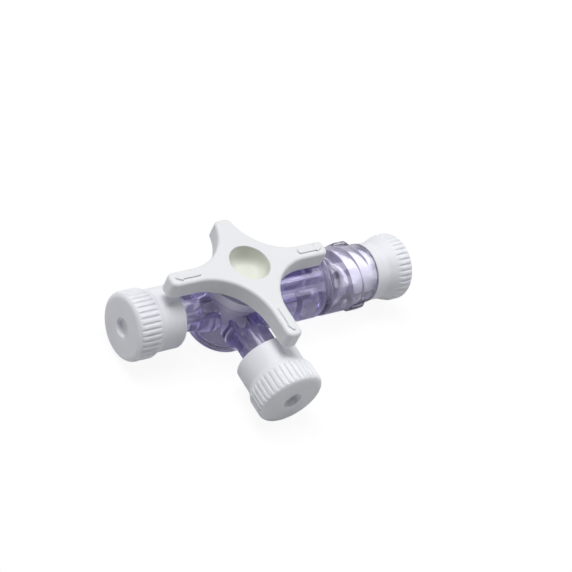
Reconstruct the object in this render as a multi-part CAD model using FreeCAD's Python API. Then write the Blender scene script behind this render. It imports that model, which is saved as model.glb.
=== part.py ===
"""Three way stopcock: clear body, four armed handle on a cored plug, rotating lock collar and three caps.

Millimetres. The barrel stands on z = 0 with its axis on Z. The male port points along +X, the two
female ports along -X and -Y. The handle is shown with its long arms over the three ports.
"""
import FreeCAD, Part
import math
import os

V = FreeCAD.Vector
X_AXIS = V(1, 0, 0)
Z_AXIS = V(0, 0, 1)

# Barrel
barrel_radius = 6.2
barrel_height = 13.5
barrel_edge = 0.5
port_height = 6.7
plug_bore_radius = 4.1
hub_recess_radius = 5.0
hub_recess_depth = 2.9
lip_recess_radius = 4.75
lip_recess_depth = 1.0

# Fluid ways and the 6 % conical fittings: the radius changes by 0.03 for each millimetre of length
lumen_radius = 1.3
taper = 0.03
female_mouth_radius = 2.15
female_cone_depth = 9.0
male_tip_radius = 1.98
lock_lug_radius = 3.9
lock_lug_length = 1.3
lock_lug_width = 4.6

# Female ports
port_reach = 20.4
port_neck_radius = 3.35
port_root_radius = 4.3
port_root_end = 8.2
port_lip_edge = 0.25

# Male arm
arm_radius = 6.1
arm_end = 17.5
arm_edge = 0.5
arm_neck_radius = 3.4
collar_gap = 1.1
collar_lip_length = 1.6
snap_ring_radius = 4.0
snap_ring_length = 1.2
snap_ring_bevel = 0.5
tip_past_collar = 2.1
pocket_wall = 1.3
pocket_core = 4.6
pocket_roof = 2.3
pocket_web = 1.3
pocket_start = 7.4

# Collar
collar_radius = 6.1
collar_rim_radius = 5.55
collar_length = 11.6
collar_taper_start = 5.8
collar_taper_end = 9.6
collar_bore_radius = 4.15
collar_edge = 0.45
wing_radius = 6.4
wing_thickness = 2.6
wing_start = 5.2
wing_rise = 1.2
wing_flat = 2.7
wing_fall = 1.4
wing_edge = 0.4
wing_turn = 28

# Caps
cap_length = 9.9
cap_band_radius = 6.25
cap_rib_depth = 0.3
cap_rib_count = 38
cap_rib_share = 0.4
cap_edge = 1.1
cap_band_end = 3.9
cap_flare_end = 5.4
cap_sleeve_radius = 5.6
cap_wall_end = 2.3
cap_bore_radius = 4.05
cap_mouth_bevel = 0.6
cap_cone_length = 6.0
cap_dimple_radius = 1.8
cap_dimple_depth = 1.1
cap_dimple_draft = 0.2
cap_dimple_round = 0.25
male_cap_length = 7.9
male_cap_band_end = 2.6
male_cap_flare_end = 5.3
male_cap_sleeve_radius = 5.4
male_cap_tube_past_collar = 6.8
male_cap_skirt_wall = 1.0
male_cap_skirt_depth = 4.4

# Handle and plug
arm_length = 16.7
back_arm_length = 10.4
arm_half_width = 1.55
arm_tip_radius = 1.1
arm_sweep_radius = 9.85
slab_thickness = 3.5
slab_edge = 0.6
slab_under_edge = 0.25
slab_clearance = 0.7
dish_radius = 3.85
dish_depth = 3.2
dish_draft = 0.35
dish_floor_round = 2.0
mark_start = 10.5
mark_shaft_length = 3.9
mark_shaft_width = 1.1
mark_head_length = 1.6
mark_head_width = 1.8
mark_height = 0.3
mark_edge = 0.12
plug_core_radius = 2.9
plug_core_depth = 3.2
plug_core_round = 0.5
plug_lip_radius = 4.4
plug_lip_bevel = 0.35

# Fits
plug_clearance = 0.02
hub_clearance = 0.1
lip_clearance = 0.05
foot_clearance = 0.1
collar_clearance = 0.1
cone_clearance = 0.02


def rounded_face(points):
    """A closed outline in X and Y from (a, b, corner radius) points, with tangent arcs in its corners."""
    corners = []
    count = len(points)
    for i in range(count):
        a, b, radius = points[i]
        here = V(a, b, 0)
        before = V(points[i - 1][0], points[i - 1][1], 0) - here
        after = V(points[(i + 1) % count][0], points[(i + 1) % count][1], 0) - here
        before.normalize()
        after.normalize()
        if radius == 0:
            corners.append((here, None, here))
            continue
        half = before.getAngle(after) / 2
        reach = radius / math.tan(half)
        middle = before + after
        middle.normalize()
        centre = here + middle * (radius / math.sin(half))
        corners.append((here + before * reach, centre - middle * radius, here + after * reach))
    edges = []
    for i in range(count):
        start, middle, end = corners[i]
        if middle is not None:
            edges.append(Part.Arc(start, middle, end).toShape())
        following = corners[(i + 1) % count][0]
        if end.distanceToPoint(following) > 1e-7:
            edges.append(Part.makeLine(end, following))
    return Part.Face(Part.Wire(edges))


def turned_x(points):
    """A solid turned about the X axis from (x, radius, corner radius) points."""
    return rounded_face(points).revolve(V(0, 0, 0), X_AXIS, 360)


def turned_z(points):
    """A solid turned about the Z axis from (radius, z, corner radius) points."""
    face = rounded_face(points)
    face.rotate(V(0, 0, 0), X_AXIS, 90)
    return face.revolve(V(0, 0, 0), Z_AXIS, 360)


def block(x0, x1, y0, y1, z0, z1):
    return Part.makeBox(x1 - x0, y1 - y0, z1 - z0, V(x0, y0, z0))


def tube_x(radius, x0, x1):
    return Part.makeCylinder(radius, x1 - x0, V(x0, 0, 0), X_AXIS)


def to_port_height(shape):
    shape.translate(V(0, 0, port_height))
    return shape


def to_minus_x(shape):
    """Turns a piece that points along +X so that it points along -X."""
    shape.rotate(V(0, 0, 0), Z_AXIS, 180)
    return shape


def to_minus_y(shape):
    """Turns a piece that points along +X so that it points along -Y."""
    shape.rotate(V(0, 0, 0), Z_AXIS, -90)
    return shape


# Places along the ports that several pieces share
collar_start = arm_end + collar_gap
snap_start = collar_start + collar_lip_length
snap_end = snap_start + snap_ring_length
collar_end = collar_start + collar_length
male_tip = collar_end + tip_past_collar
cap_end = port_reach + cap_wall_end
slab_bottom = barrel_height + slab_clearance
slab_top = slab_bottom + slab_thickness
hub_floor = barrel_height - hub_recess_depth


# Body
def female_port():
    """A port along +X, with its conical bore still closed."""
    neck = turned_x([
        (0, 0, 0),
        (0, port_root_radius, 0),
        (barrel_radius, port_root_radius, 0),
        (port_root_end, port_neck_radius, 1.0),
        (port_reach, port_neck_radius, port_lip_edge),
        (port_reach, 0, 0),
    ])
    ring = tube_x(lock_lug_radius, port_reach - lock_lug_length, port_reach - port_lip_edge)
    half = lock_lug_width / 2
    reach = lock_lug_radius + 1
    lugs = ring.common(block(0, port_reach, -reach, reach, -half, half))
    return neck.fuse(lugs)


def female_bore():
    cone_end = port_reach - female_cone_depth
    inner = female_mouth_radius - taper * female_cone_depth
    return turned_x([
        (0, 0, 0),
        (0, lumen_radius, 0),
        (cone_end, lumen_radius, 0),
        (cone_end, inner, 0),
        (port_reach, female_mouth_radius, 0),
        (port_reach + 1, female_mouth_radius, 0),
        (port_reach + 1, 0, 0),
    ])


def male_arm():
    base = male_tip_radius + taper * (male_tip - snap_end)
    return turned_x([
        (0, 0, 0),
        (0, arm_radius, 0),
        (arm_end, arm_radius, arm_edge),
        (arm_end, arm_neck_radius, 0),
        (snap_start, arm_neck_radius, 0),
        (snap_start, snap_ring_radius, 0),
        (snap_end - snap_ring_bevel, snap_ring_radius, 0),
        (snap_end, snap_ring_radius - snap_ring_bevel, 0),
        (snap_end, base, 0),
        (male_tip, male_tip_radius, 0.2),
        (male_tip, 0, 0),
    ])


def arm_pockets():
    """Core pockets on the arm's underside, on both sides of the fluid way, with one web across."""
    inside = tube_x(arm_radius - pocket_wall, pocket_start, arm_end - pocket_wall)
    drop = block(0, arm_end, -(arm_radius - pocket_wall), arm_radius - pocket_wall, -barrel_radius, 0)
    middle = (pocket_start + arm_end - pocket_wall) / 2
    pockets = []
    for x0, x1 in ((pocket_start, middle - pocket_web / 2), (middle + pocket_web / 2, arm_end - pocket_wall)):
        for y0, y1 in ((-arm_radius, -pocket_core / 2), (pocket_core / 2, arm_radius)):
            pockets.append(inside.fuse(drop).common(block(x0, x1, y0, y1, -barrel_radius, pocket_roof)))
    return pockets


barrel = turned_z([
    (0, 0, 0),
    (barrel_radius, 0, barrel_edge),
    (barrel_radius, barrel_height, barrel_edge),
    (0, barrel_height, 0),
])
body = barrel.fuse([
    to_port_height(to_minus_x(female_port())),
    to_port_height(to_minus_y(female_port())),
    to_port_height(male_arm()),
])
plug_way = turned_z([
    (0, -1, 0),
    (lip_recess_radius, -1, 0),
    (lip_recess_radius, lip_recess_depth, 0),
    (plug_bore_radius, lip_recess_depth, 0),
    (plug_bore_radius, hub_floor, 0),
    (hub_recess_radius, hub_floor, 0),
    (hub_recess_radius, barrel_height + 1, 0),
    (0, barrel_height + 1, 0),
])
body = body.cut([
    plug_way,
    to_port_height(to_minus_x(female_bore())),
    to_port_height(to_minus_y(female_bore())),
    to_port_height(tube_x(lumen_radius, 0, male_tip + 1)),
])
body = body.cut([to_port_height(pocket) for pocket in arm_pockets()]).removeSplitter()


# Handle and plug
def handle_outline():
    """Four arms joined by wide concave sweeps, anticlockwise from the arm over the male port."""
    centre = arm_half_width + arm_sweep_radius
    edges = []
    for turn, length, next_length in (
        (0, arm_length, back_arm_length),
        (90, back_arm_length, arm_length),
        (180, arm_length, arm_length),
        (270, arm_length, arm_length),
    ):
        starts = tip_points(length, centre)
        ends = tip_points(next_length, centre)
        sweep = V(centre, centre, 0) - V(1, 1, 0).normalize() * arm_sweep_radius
        quarter = [
            Part.makeLine(V(length, -starts[2].x, 0), V(length, starts[2].x, 0)),
            Part.Arc(*[V(p.y, p.x, 0) for p in reversed(starts[:3])]).toShape(),
        ]
        if starts[3].y < starts[0].y:
            quarter.append(Part.makeLine(V(starts[0].y, starts[0].x, 0), V(starts[3].y, starts[3].x, 0)))
        quarter.append(Part.Arc(V(starts[3].y, starts[3].x, 0), sweep, ends[3]).toShape())
        if ends[3].y < ends[0].y:
            quarter.append(Part.makeLine(ends[3], ends[0]))
        quarter.append(Part.Arc(*ends[:3]).toShape())
        for edge in quarter:
            edge.rotate(V(0, 0, 0), Z_AXIS, turn)
        edges += quarter
    return Part.Face(Part.Wire(edges))


def tip_points(length, centre):
    """For an arm along +Y: the start, middle and end of its tip's corner, and where its sweep ends."""
    middle_y = length - arm_tip_radius
    if middle_y >= centre:
        middle_x = arm_half_width - arm_tip_radius
        out = V(1, 0, 0)
        sweep_end = V(arm_half_width, centre, 0)
    else:
        span = arm_sweep_radius + arm_tip_radius
        middle_x = centre - math.sqrt(span ** 2 - (centre - middle_y) ** 2)
        out = V(centre - middle_x, centre - middle_y, 0).normalize()
        sweep_end = V(middle_x, middle_y, 0) + out * arm_tip_radius
    middle = V(middle_x, middle_y, 0)
    half_way = V(out.x, out.y + 1, 0).normalize()
    return (
        middle + out * arm_tip_radius,
        middle + half_way * arm_tip_radius,
        middle + V(0, arm_tip_radius, 0),
        sweep_end,
    )


def flow_mark(turn):
    """A low raised arrow on top of a long arm, which points along it and away from the plug."""
    shaft = mark_shaft_width / 2
    head = mark_head_width / 2
    head_start = mark_start + mark_shaft_length
    pad = rounded_face([
        (mark_start, -shaft, shaft * 0.8),
        (head_start, -shaft, 0),
        (head_start, -head, 0.1),
        (head_start + mark_head_length, 0, 0.3),
        (head_start, head, 0.1),
        (head_start, shaft, 0),
        (mark_start, shaft, shaft * 0.8),
    ]).extrude(V(0, 0, mark_height + slab_edge))
    top = [e for e in pad.Edges if e.BoundBox.ZMin > mark_height]
    pad = pad.makeFillet(mark_edge, top)
    pad.translate(V(0, 0, slab_top - slab_edge))
    pad.rotate(V(0, 0, 0), Z_AXIS, turn)
    return pad


slab = handle_outline().extrude(V(0, 0, slab_thickness))
rim = [e for e in slab.Edges if e.BoundBox.ZMin > slab_thickness - 0.01]
slab = slab.makeFillet(slab_edge, rim)
under = [e for e in slab.Edges if e.BoundBox.ZMax < 0.01]
slab = slab.makeFillet(slab_under_edge, under)
slab.translate(V(0, 0, slab_bottom))

plug_radius = plug_bore_radius - plug_clearance
hub_radius = hub_recess_radius - hub_clearance
plug = turned_z([
    (0, foot_clearance, 0),
    (plug_lip_radius - plug_lip_bevel, foot_clearance, 0),
    (plug_lip_radius, foot_clearance + plug_lip_bevel, 0),
    (plug_lip_radius, lip_recess_depth - lip_clearance, 0),
    (plug_radius, lip_recess_depth - lip_clearance, 0),
    (plug_radius, hub_floor, 0),
    (hub_radius, hub_floor, 0),
    (hub_radius, slab_bottom + 1, 0),
    (0, slab_bottom + 1, 0),
])
dish = turned_z([
    (0, slab_top - dish_depth, 0),
    (dish_radius - dish_draft, slab_top - dish_depth, dish_floor_round),
    (dish_radius, slab_top, 0),
    (dish_radius, slab_top + 1, 0),
    (0, slab_top + 1, 0),
])
plug_core = turned_z([
    (0, -1, 0),
    (plug_core_radius, -1, 0),
    (plug_core_radius, plug_core_depth, plug_core_round),
    (0, plug_core_depth, 0),
])
run_through = tube_x(lumen_radius, -barrel_radius, barrel_radius)
run_through.rotate(V(0, 0, 0), X_AXIS, -90)
run_through = to_port_height(run_through)
branch = to_port_height(to_minus_y(tube_x(lumen_radius, 0, barrel_radius)))
handle = slab.fuse([plug, flow_mark(0), flow_mark(180), flow_mark(270)])
handle = handle.cut([dish, plug_core, run_through, branch]).removeSplitter()


# Collar
collar = turned_x([
    (collar_start, arm_neck_radius + collar_clearance, 0),
    (collar_start, collar_radius, collar_edge),
    (collar_start + collar_taper_start, collar_radius, 1.5),
    (collar_start + collar_taper_end, collar_rim_radius, 1.5),
    (collar_end, collar_rim_radius, collar_edge),
    (collar_end, collar_bore_radius, 0.3),
    (snap_start, collar_bore_radius, 0),
    (snap_start, arm_neck_radius + collar_clearance, 0),
])
wing_foot = collar_rim_radius - 0.6
wing_end = wing_start + wing_rise + wing_flat + wing_fall
wing = rounded_face([
    (wing_start, -wing_foot, 0),
    (wing_start + wing_rise, -wing_radius, 0.8),
    (wing_end - wing_fall, -wing_radius, 0.8),
    (wing_end, -wing_foot, 0),
    (wing_end, wing_foot, 0),
    (wing_end - wing_fall, wing_radius, 0.8),
    (wing_start + wing_rise, wing_radius, 0.8),
    (wing_start, wing_foot, 0),
]).extrude(V(0, 0, wing_thickness))
wing.translate(V(collar_start, 0, -wing_thickness / 2))
wing = wing.cut(tube_x(collar_bore_radius + 0.4, collar_start, collar_end))
wing = wing.makeFillet(wing_edge, [
    e for e in wing.Edges
    if e.BoundBox.ZLength < 0.01 and abs(e.CenterOfMass.y) > collar_rim_radius
])
wing.rotate(V(0, 0, 0), X_AXIS, wing_turn)
collar = to_port_height(collar.fuse(wing).removeSplitter())


# Caps
def ribbed(envelope, length):
    """Cuts lengthwise grip ribs into a turned cap blank, as deep as the ribs go below its band."""
    points = []
    pitch = 2 * math.pi / cap_rib_count
    valley = cap_band_radius - cap_rib_depth
    crest_half = pitch * cap_rib_share / 2
    foot_half = pitch * (1 + cap_rib_share) / 4
    for k in range(cap_rib_count):
        for radius, side in (
            (valley, -foot_half), (cap_band_radius, -crest_half), (cap_band_radius, crest_half), (valley, foot_half)
        ):
            angle = k * pitch + side
            points.append(V(0, radius * math.cos(angle), radius * math.sin(angle)))
    points.append(points[0])
    prism = Part.Face(Part.makePolygon(points)).extrude(V(length, 0, 0))
    return envelope.common(prism)


def end_dimple():
    return turned_x([
        (-1, 0, 0),
        (-1, cap_dimple_radius, 0),
        (0, cap_dimple_radius, 0),
        (cap_dimple_depth, cap_dimple_radius - cap_dimple_draft, cap_dimple_round),
        (cap_dimple_depth, 0, 0),
    ])


def closing_cap():
    """A cap for a female port, from its closed end at x = 0 to its open end, with the inner sealing cone."""
    blank = ribbed(turned_x([
        (0, 0, 0),
        (0, cap_band_radius, cap_edge),
        (cap_band_end, cap_band_radius, 0.8),
        (cap_flare_end, cap_sleeve_radius, 0.8),
        (cap_length, cap_sleeve_radius, 0.3),
        (cap_length, 0, 0),
    ]), cap_length)
    root = female_mouth_radius - cone_clearance
    cone_end = cap_wall_end + cap_cone_length
    hollow = turned_x([
        (cap_wall_end, root, 0),
        (cap_wall_end, cap_bore_radius, 0),
        (cap_length - cap_mouth_bevel, cap_bore_radius, 0),
        (cap_length, cap_bore_radius + cap_mouth_bevel, 0),
        (cap_length + 1, cap_bore_radius + cap_mouth_bevel, 0),
        (cap_length + 1, 0, 0),
        (cone_end, 0, 0),
        (cone_end, root - taper * cap_cone_length, 0),
    ])
    cap = blank.cut([hollow, end_dimple()]).removeSplitter()
    cap.translate(V(-cap_end, 0, 0))
    return cap


def male_port_cap():
    """A cap for the male port, from its closed end at x = 0: a socket for the cone in a skirted grip."""
    tube_end = male_cap_length + male_cap_tube_past_collar
    seat_radius = male_tip_radius + taper * (male_tip - collar_end + male_cap_tube_past_collar) + cone_clearance
    socket_floor = male_cap_length - tip_past_collar - 0.8
    blank = ribbed(turned_x([
        (0, 0, 0),
        (0, cap_band_radius, cap_edge),
        (male_cap_band_end, cap_band_radius, 0.8),
        (male_cap_flare_end, male_cap_sleeve_radius, 0.8),
        (male_cap_length, male_cap_sleeve_radius, 0),
        (male_cap_length, port_neck_radius, 0),
        (tube_end, port_neck_radius, port_lip_edge),
        (tube_end, 0, 0),
    ]), tube_end)
    ring = tube_x(lock_lug_radius, tube_end - lock_lug_length, tube_end - port_lip_edge)
    half = lock_lug_width / 2
    reach = lock_lug_radius + 1
    lugs = ring.common(block(0, tube_end, -reach, reach, -half, half))
    skirt = turned_x([
        (male_cap_length - male_cap_skirt_depth, port_neck_radius, 0),
        (male_cap_length - male_cap_skirt_depth, male_cap_sleeve_radius - male_cap_skirt_wall, 0),
        (male_cap_length + 1, male_cap_sleeve_radius - male_cap_skirt_wall, 0),
        (male_cap_length + 1, port_neck_radius, 0),
    ])
    socket_length = tube_end - socket_floor
    socket = turned_x([
        (socket_floor, 0, 0),
        (socket_floor, seat_radius - taper * socket_length, 0),
        (tube_end, seat_radius, 0),
        (tube_end + 1, seat_radius, 0),
        (tube_end + 1, 0, 0),
    ])
    cap = blank.fuse(lugs).cut([skirt, socket, end_dimple()]).removeSplitter()
    cap = to_minus_x(cap)
    cap.translate(V(collar_end + male_cap_length, 0, 0))
    return cap


left_cap = to_port_height(closing_cap())
front_cap = closing_cap()
front_cap.rotate(V(0, 0, 0), Z_AXIS, 90)
front_cap = to_port_height(front_cap)
right_cap = to_port_height(male_port_cap())

# Export
nodes = {
    "body": body,
    "handle": handle,
    "collar": collar,
    "left_cap": left_cap,
    "front_cap": front_cap,
    "right_cap": right_cap,
}
os.makedirs("parts", exist_ok=True)
for name, shape in nodes.items():
    if not shape.isValid() or len(shape.Solids) != 1:
        raise ValueError("%s is not one valid solid" % name)
    shape.Solids[0].exportStep(os.path.join("parts", name + ".step"))
    print(name, round(shape.Volume, 1), shape.BoundBox)
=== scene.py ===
"""Looks of the three way stopcock: clear tinted body, white handle and caps, clear lock collar."""
import math

import bpy
import bmesh
from mathutils import Matrix, Vector


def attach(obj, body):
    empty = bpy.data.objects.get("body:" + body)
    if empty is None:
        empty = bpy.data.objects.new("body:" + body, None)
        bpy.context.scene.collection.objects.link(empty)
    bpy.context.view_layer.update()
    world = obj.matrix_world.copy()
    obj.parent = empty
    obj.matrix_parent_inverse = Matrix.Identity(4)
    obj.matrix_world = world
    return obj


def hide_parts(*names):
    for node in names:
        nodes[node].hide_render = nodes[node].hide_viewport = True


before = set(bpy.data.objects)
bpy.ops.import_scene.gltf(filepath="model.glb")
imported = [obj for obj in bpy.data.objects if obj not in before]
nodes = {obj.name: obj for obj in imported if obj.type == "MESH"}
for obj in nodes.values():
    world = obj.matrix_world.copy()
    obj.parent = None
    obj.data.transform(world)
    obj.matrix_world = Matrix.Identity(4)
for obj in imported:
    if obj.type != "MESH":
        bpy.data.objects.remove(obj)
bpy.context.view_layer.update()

MM = 0.001
PORT_HEIGHT = 6.7 * MM
WHITE = (1, 1, 1, 1)


def add_object(name, data):
    """A new object, linked to the scene."""
    obj = bpy.data.objects.new(name, data)
    bpy.context.scene.collection.objects.link(obj)
    return obj


# Camera of the photograph, fitted to points on the caps, the barrel and the handle
CAMERA_AZIMUTH = 52.05
CAMERA_ELEVATION = 42.94
CAMERA_ROLL = 28.26
CAMERA_DISTANCE = 356.1 * MM
CAMERA_SIDE = -10.107 * MM
CAMERA_UP = -2.977 * MM
LENS = 125.86
SENSOR = 36.0
CLIP_NEAR = 0.01
CLIP_FAR = 10


def add_camera():
    """The photograph's camera, placed from the barrel's axis at the height of the ports."""
    a = math.radians(CAMERA_AZIMUTH)
    e = math.radians(CAMERA_ELEVATION)
    r = math.radians(CAMERA_ROLL)
    back = Vector((-math.sin(a) * math.cos(e), -math.cos(a) * math.cos(e), math.sin(e)))
    level = Vector((math.cos(a), -math.sin(a), 0))
    rise = back.cross(level)
    right = level * math.cos(r) + rise * math.sin(r)
    up = rise * math.cos(r) - level * math.sin(r)
    data = bpy.data.cameras.new("camera")
    data.lens = LENS
    data.sensor_width = SENSOR
    data.clip_start = CLIP_NEAR
    data.clip_end = CLIP_FAR
    middle = Vector((0, 0, PORT_HEIGHT)) - right * CAMERA_SIDE - up * CAMERA_UP
    place = middle + back * CAMERA_DISTANCE
    turn = Matrix((right, up, back)).transposed().to_4x4()
    camera = add_object("camera", data)
    camera.matrix_world = Matrix.Translation(place) @ turn
    bpy.context.scene.camera = camera


# Materials
BUMP_DEPTH = 0.02 * MM
BUMP_DETAIL = 3
GRAINS_PER_PATCH = 8

# Soft borders of the dish's painted shade, from none to full: at its wall, under its floor and below its
# rim
DISH_WALL_OUTSIDE = 3.9 * MM
DISH_WALL_INSIDE = 3.8 * MM
DISH_UNDER_FLOOR = 14.2 * MM
DISH_FLOOR = 14.3 * MM
DISH_RIM = 17.62 * MM
DISH_BELOW_RIM = 17.42 * MM

WHITE_IOR = 1.5
WHITE_GLOW_RADIUS = (1.0, 0.97, 0.93)
WHITE_GRAIN = 900
WHITE_BUMP = 0.25

CLEAR_GRAIN = 500
CLEAR_BUMP = 0.1
CLEAR_ROUGHNESS_LOW = 0.015
CLEAR_ROUGHNESS_HIGH = 0.04
CLEAR_MILK = (0.9, 0.89, 0.94, 1)
CLEAR_SHADOW = (0.72, 0.72, 0.74, 1)

HANDLE_COLOUR = (0.80, 0.81, 0.83)
# Darker, greener white inside the dish: painted shade of the recess
DISH_SHADE_COLOUR = (0.72, 0.745, 0.68)
CAP_COLOUR = (0.82, 0.83, 0.87)
BODY_TINT = (0.40, 0.33, 0.67)
COLLAR_TINT = (0.54, 0.50, 0.68)


def new_material(name):
    """A material with its node tree, its shader and its output."""
    material = bpy.data.materials.new(name)
    material.use_nodes = True
    tree = material.node_tree
    return material, tree, tree.nodes["Principled BSDF"], tree.nodes["Material Output"]


def add_moulded_surface(tree, shader, grain, strength, low, high):
    """Fine moulded unevenness: a faint bump, and a roughness that varies a little over the surface."""
    place = tree.nodes.new("ShaderNodeTexCoord")
    fine = tree.nodes.new("ShaderNodeTexNoise")
    fine.inputs["Scale"].default_value = grain
    fine.inputs["Detail"].default_value = BUMP_DETAIL
    tree.links.new(place.outputs["Object"], fine.inputs["Vector"])
    bump = tree.nodes.new("ShaderNodeBump")
    bump.inputs["Strength"].default_value = strength
    bump.inputs["Distance"].default_value = BUMP_DEPTH
    tree.links.new(fine.outputs["Fac"], bump.inputs["Height"])
    tree.links.new(bump.outputs["Normal"], shader.inputs["Normal"])
    broad = tree.nodes.new("ShaderNodeTexNoise")
    broad.inputs["Scale"].default_value = grain / GRAINS_PER_PATCH
    tree.links.new(place.outputs["Object"], broad.inputs["Vector"])
    spread = tree.nodes.new("ShaderNodeMapRange")
    spread.inputs["To Min"].default_value = low
    spread.inputs["To Max"].default_value = high
    tree.links.new(broad.outputs["Fac"], spread.inputs["Value"])
    tree.links.new(spread.outputs["Result"], shader.inputs["Roughness"])


def multiplied(tree, one, other):
    """The product of two node outputs."""
    product = tree.nodes.new("ShaderNodeMath")
    product.operation = "MULTIPLY"
    tree.links.new(one, product.inputs[0])
    tree.links.new(other, product.inputs[1])
    return product.outputs[0]


def add_painted_dish_shade(tree, shader, colour, shade_colour):
    """The dish on top of the plug, in a darker, greener white: painted shade of the recess."""
    place = tree.nodes.new("ShaderNodeTexCoord")
    parts = tree.nodes.new("ShaderNodeSeparateXYZ")
    tree.links.new(place.outputs["Object"], parts.inputs["Vector"])
    across = tree.nodes.new("ShaderNodeVectorMath")
    across.operation = "MULTIPLY"
    across.inputs[1].default_value = (1, 1, 0)
    tree.links.new(place.outputs["Object"], across.inputs[0])
    reach = tree.nodes.new("ShaderNodeVectorMath")
    reach.operation = "LENGTH"
    tree.links.new(across.outputs["Vector"], reach.inputs[0])
    masks = []
    for source, none, full in (
        (reach.outputs["Value"], DISH_WALL_OUTSIDE, DISH_WALL_INSIDE),
        (parts.outputs["Z"], DISH_UNDER_FLOOR, DISH_FLOOR),
        (parts.outputs["Z"], DISH_RIM, DISH_BELOW_RIM),
    ):
        mask = tree.nodes.new("ShaderNodeMapRange")
        mask.inputs["From Min"].default_value = none
        mask.inputs["From Max"].default_value = full
        tree.links.new(source, mask.inputs["Value"])
        masks.append(mask.outputs["Result"])
    inside = multiplied(tree, multiplied(tree, masks[0], masks[1]), masks[2])
    mix = tree.nodes.new("ShaderNodeMix")
    mix.data_type = "RGBA"
    mix.inputs["A"].default_value = (*colour, 1)
    mix.inputs["B"].default_value = (*shade_colour, 1)
    tree.links.new(inside, mix.inputs["Factor"])
    tree.links.new(mix.outputs["Result"], shader.inputs["Base Color"])


def white_plastic(name, colour, glow, reach, low, high):
    """White plastic in which light spreads a little: how much, how far, and the roughness."""
    material, tree, shader, _ = new_material(name)
    shader.inputs["Base Color"].default_value = (*colour, 1)
    shader.inputs["IOR"].default_value = WHITE_IOR
    shader.inputs["Subsurface Weight"].default_value = glow
    shader.inputs["Subsurface Radius"].default_value = WHITE_GLOW_RADIUS
    shader.inputs["Subsurface Scale"].default_value = reach
    add_moulded_surface(tree, shader, WHITE_GRAIN, WHITE_BUMP, low, high)
    return material, tree, shader


def clear_plastic(name, tint, ior, density, haze):
    """Clear plastic, tinted by its depth and a little milky, that lets light through in its shadow."""
    material, tree, shader, output = new_material(name)
    shader.inputs["Base Color"].default_value = WHITE
    shader.inputs["Transmission Weight"].default_value = 1
    shader.inputs["IOR"].default_value = ior
    add_moulded_surface(tree, shader, CLEAR_GRAIN, CLEAR_BUMP, CLEAR_ROUGHNESS_LOW, CLEAR_ROUGHNESS_HIGH)
    milk = tree.nodes.new("ShaderNodeBsdfTranslucent")
    milk.inputs["Color"].default_value = CLEAR_MILK
    mix = tree.nodes.new("ShaderNodeMixShader")
    mix.inputs["Fac"].default_value = haze
    tree.links.new(shader.outputs["BSDF"], mix.inputs[1])
    tree.links.new(milk.outputs["BSDF"], mix.inputs[2])
    through = tree.nodes.new("ShaderNodeBsdfTransparent")
    through.inputs["Color"].default_value = CLEAR_SHADOW
    path = tree.nodes.new("ShaderNodeLightPath")
    pale_shadow = tree.nodes.new("ShaderNodeMixShader")
    tree.links.new(path.outputs["Is Shadow Ray"], pale_shadow.inputs["Fac"])
    tree.links.new(mix.outputs["Shader"], pale_shadow.inputs[1])
    tree.links.new(through.outputs["BSDF"], pale_shadow.inputs[2])
    tree.links.new(pale_shadow.outputs["Shader"], output.inputs["Surface"])
    depth = tree.nodes.new("ShaderNodeVolumeAbsorption")
    depth.inputs["Color"].default_value = (*tint, 1)
    depth.inputs["Density"].default_value = density
    tree.links.new(depth.outputs["Volume"], output.inputs["Volume"])
    return material


def dress(name, material):
    """Gives a CAD node its material."""
    node = nodes[name]
    node.data.materials.clear()
    node.data.materials.append(material)


handle_white, handle_tree, handle_shader = white_plastic(
    "handle_white", HANDLE_COLOUR, glow=0.1, reach=0.5 * MM, low=0.4, high=0.52
)
# The dish gets painted shade: a darker, greener white inside it
add_painted_dish_shade(handle_tree, handle_shader, HANDLE_COLOUR, DISH_SHADE_COLOUR)
cap_white = white_plastic("cap_white", CAP_COLOUR, glow=0.6, reach=1.2 * MM, low=0.45, high=0.58)[0]
body_tint = clear_plastic("body_tint", BODY_TINT, ior=1.5, density=165, haze=0.12)
collar_clear = clear_plastic("collar_clear", COLLAR_TINT, ior=1.48, density=220, haze=0.1)

dress("handle", handle_white)
for cap in ("left_cap", "front_cap", "right_cap"):
    dress(cap, cap_white)
dress("body", body_tint)
dress("collar", collar_clear)


# Fine double start threads in the collar and in the caps
THREAD_LEAD = 5.0 * MM
THREAD_STARTS = 2
THREAD_STEPS = 96
THREAD_FADE = 10
THREAD_SINK = 0.08 * MM
THREAD_HALF_FOOT = 0.5 * MM
THREAD_HALF_CREST = 0.2 * MM
THREAD_CREST_RADIUS = 3.93 * MM
PROFILE_POINTS = 4
COLLAR_BORE = 4.15 * MM
COLLAR_THREAD_START = 22.4 * MM
COLLAR_THREAD_END = 29.3 * MM
CAP_BORE = 4.05 * MM
CAP_THREAD_START = 14.1 * MM
CAP_THREAD_END = 18.4 * MM
WELD_DISTANCE = 0.0005 * MM
SHARP_ANGLE = 28


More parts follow.
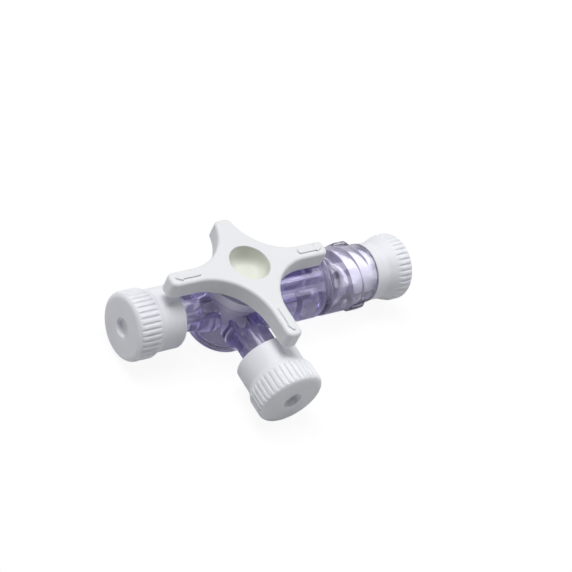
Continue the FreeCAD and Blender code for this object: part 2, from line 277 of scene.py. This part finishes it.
def thread_ridges(name, bore, start, end):
    """Right handed ridges on the inside of a bore along +X, with ends that run out into its wall."""
    verts = []
    faces = []
    count = round((end - start) / THREAD_LEAD * THREAD_STEPS)
    root = bore + THREAD_SINK
    for k in range(THREAD_STARTS):
        base = len(verts)
        for i in range(count + 1):
            along = start + (end - start) * i / count
            angle = 2 * math.pi * (along / THREAD_LEAD + k / THREAD_STARTS)
            fade = min(1, (i + 1) / THREAD_FADE, (count + 1 - i) / THREAD_FADE)
            top = root + (THREAD_CREST_RADIUS - root) * fade
            for offset, radius in (
                (-THREAD_HALF_FOOT, root),
                (-THREAD_HALF_CREST, top),
                (THREAD_HALF_CREST, top),
                (THREAD_HALF_FOOT, root),
            ):
                verts.append((along + offset, radius * math.cos(angle), radius * math.sin(angle)))
        for i in range(count):
            a = base + PROFILE_POINTS * i
            b = a + PROFILE_POINTS
            for j in range(PROFILE_POINTS):
                n = (j + 1) % PROFILE_POINTS
                faces.append((a + j, a + n, b + n, b + j))
        last = base + PROFILE_POINTS * count
        faces.append((base + 3, base + 2, base + 1, base))
        faces.append((last, last + 1, last + 2, last + 3))
    mesh = bpy.data.meshes.new(name)
    mesh.from_pydata(verts, [], faces)
    work = bmesh.new()
    work.from_mesh(mesh)
    bmesh.ops.recalc_face_normals(work, faces=work.faces)
    work.to_mesh(mesh)
    work.free()
    return mesh


def placed(name, mesh, turn):
    """An object whose mesh points along a port: turned about Z, at the height of the ports."""
    mesh.transform(Matrix.Translation((0, 0, PORT_HEIGHT)) @ Matrix.Rotation(math.radians(turn), 4, "Z"))
    return add_object(name, mesh)


def add_collar_thread():
    """The collar once more with its thread, as one clear solid."""
    mesh = nodes["collar"].data.copy()
    work = bmesh.new()
    work.from_mesh(mesh)
    bmesh.ops.remove_doubles(work, verts=work.verts, dist=WELD_DISTANCE)
    work.to_mesh(mesh)
    work.free()
    plain = add_object("collar_plain", mesh)
    thread = thread_ridges("collar_ridges", COLLAR_BORE, COLLAR_THREAD_START, COLLAR_THREAD_END)
    ridges = placed("collar_ridges", thread, 0)
    union = plain.modifiers.new("union", "BOOLEAN")
    union.operation = "UNION"
    union.object = ridges
    union.solver = "EXACT"
    view = bpy.context.evaluated_depsgraph_get()
    threaded = bpy.data.meshes.new_from_object(plain.evaluated_get(view))
    bpy.data.objects.remove(plain)
    bpy.data.objects.remove(ridges)
    threaded.shade_smooth()
    threaded.set_sharp_from_angle(angle=math.radians(SHARP_ANGLE))
    threaded.materials.clear()
    threaded.materials.append(collar_clear)
    collar = add_object("threaded_collar", threaded)
    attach(collar, "lock_collar")
    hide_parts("collar")


def add_cap_thread(name, body, turn):
    """The thread inside a female port's cap."""
    mesh = thread_ridges(name, CAP_BORE, CAP_THREAD_START, CAP_THREAD_END)
    mesh.materials.append(cap_white)
    ridges = placed(name, mesh, turn)
    mesh.shade_smooth()
    mesh.set_sharp_from_angle(angle=math.radians(SHARP_ANGLE))
    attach(ridges, body)


add_collar_thread()
add_cap_thread("left_cap_thread", "cap_left", 180)
add_cap_thread("front_cap_thread", "cap_front", -90)


# Floor, light and background
FLOOR_HALF = 2.5
FLOOR_COLOUR = (0.58, 0.58, 0.59, 1)
FLOOR_ROUGHNESS = 0.9
FLOOR_GLOSS = 0.1
FLOOR_GLOW = 1.08
FLOOR_GLOW_SHARE = 0.85
ROOM_COLOUR = (0.92, 0.95, 1, 1)
ROOM_STRENGTH = 0.05
BACKDROP_STRENGTH = 1.0
BACKDROP_IN_GLOSS = 0.4
BOUNCES = 24
DIFFUSE_BOUNCES = 5


def direct_view(tree):
    """One for what is seen straight or through clear plastic, part of one in a gloss, else zero."""
    path = tree.nodes.new("ShaderNodeLightPath")
    total = path.outputs["Is Camera Ray"]
    for name, part in (("Is Transmission Ray", 1), ("Is Glossy Ray", BACKDROP_IN_GLOSS)):
        add = tree.nodes.new("ShaderNodeMath")
        add.operation = "MULTIPLY_ADD"
        add.use_clamp = True
        add.inputs[1].default_value = part
        tree.links.new(path.outputs[name], add.inputs[0])
        tree.links.new(total, add.inputs[2])
        total = add.outputs[0]
    return total


def add_floor():
    """A floor that catches a faint shadow and is otherwise as white as the background."""
    mesh = bpy.data.meshes.new("floor")
    corners = [(x * FLOOR_HALF, y * FLOOR_HALF, 0) for x, y in ((-1, -1), (1, -1), (1, 1), (-1, 1))]
    mesh.from_pydata(corners, [], [(0, 1, 2, 3)])
    floor = add_object("floor", mesh)
    material, tree, shader, output = new_material("floor_white")
    shader.inputs["Base Color"].default_value = FLOOR_COLOUR
    shader.inputs["Roughness"].default_value = FLOOR_ROUGHNESS
    shader.inputs["Specular IOR Level"].default_value = FLOOR_GLOSS
    seen = tree.nodes.new("ShaderNodeLightPath")
    glow = tree.nodes.new("ShaderNodeEmission")
    glow.inputs["Color"].default_value = WHITE
    glow.inputs["Strength"].default_value = FLOOR_GLOW
    share = tree.nodes.new("ShaderNodeMath")
    share.operation = "MULTIPLY"
    share.inputs[1].default_value = FLOOR_GLOW_SHARE
    tree.links.new(seen.outputs["Is Camera Ray"], share.inputs[0])
    mix = tree.nodes.new("ShaderNodeMixShader")
    tree.links.new(share.outputs[0], mix.inputs["Fac"])
    tree.links.new(shader.outputs["BSDF"], mix.inputs[1])
    tree.links.new(glow.outputs["Emission"], mix.inputs[2])
    tree.links.new(mix.outputs["Shader"], output.inputs["Surface"])
    mesh.materials.append(material)


def aim(data, place):
    """A lamp at a place, turned to the object."""
    lamp = add_object(data.name, data)
    lamp.location = place
    lamp.rotation_mode = "QUATERNION"
    lamp.rotation_quaternion = (-Vector(place)).to_track_quat("-Z", "Y")


def add_even_lamp(name, place, strength, spread):
    """A wide lamp so far off that it lights the whole floor evenly."""
    data = bpy.data.lights.new(name, "SUN")
    data.energy = strength
    data.angle = math.radians(spread)
    aim(data, place)


def add_lamp(name, place, size, power):
    """A round lamp near the object."""
    data = bpy.data.lights.new(name, "AREA")
    data.shape = "DISK"
    data.size = size
    data.energy = power
    aim(data, place)


def add_world():
    """White where it is seen, and a dim cool room for all other light."""
    world = bpy.data.worlds.new("studio")
    world.use_nodes = True
    tree = world.node_tree
    room = tree.nodes["Background"]
    room.inputs["Color"].default_value = ROOM_COLOUR
    room.inputs["Strength"].default_value = ROOM_STRENGTH
    white = tree.nodes.new("ShaderNodeBackground")
    white.inputs["Color"].default_value = WHITE
    white.inputs["Strength"].default_value = BACKDROP_STRENGTH
    mix = tree.nodes.new("ShaderNodeMixShader")
    tree.links.new(direct_view(tree), mix.inputs["Fac"])
    tree.links.new(room.outputs["Background"], mix.inputs[1])
    tree.links.new(white.outputs["Background"], mix.inputs[2])
    tree.links.new(mix.outputs["Shader"], tree.nodes["World Output"].inputs["Surface"])
    bpy.context.scene.world = world


add_camera()
add_floor()
add_world()
add_even_lamp("key", place=(-0.12, 0.2, 0.64), strength=2.5, spread=36)
add_lamp("side", place=(-0.7, 0.1, 0.25), size=0.3, power=0.42)
add_lamp("low", place=(0.5, -0.45, 0.36), size=0.35, power=0.9)
add_lamp("glint", place=(0.4, 0.02, 0.57), size=0.3, power=0.9)
bpy.context.scene.view_settings.view_transform = "Standard"
bpy.context.scene.cycles.max_bounces = BOUNCES
bpy.context.scene.cycles.transmission_bounces = BOUNCES
bpy.context.scene.cycles.diffuse_bounces = DIFFUSE_BOUNCES
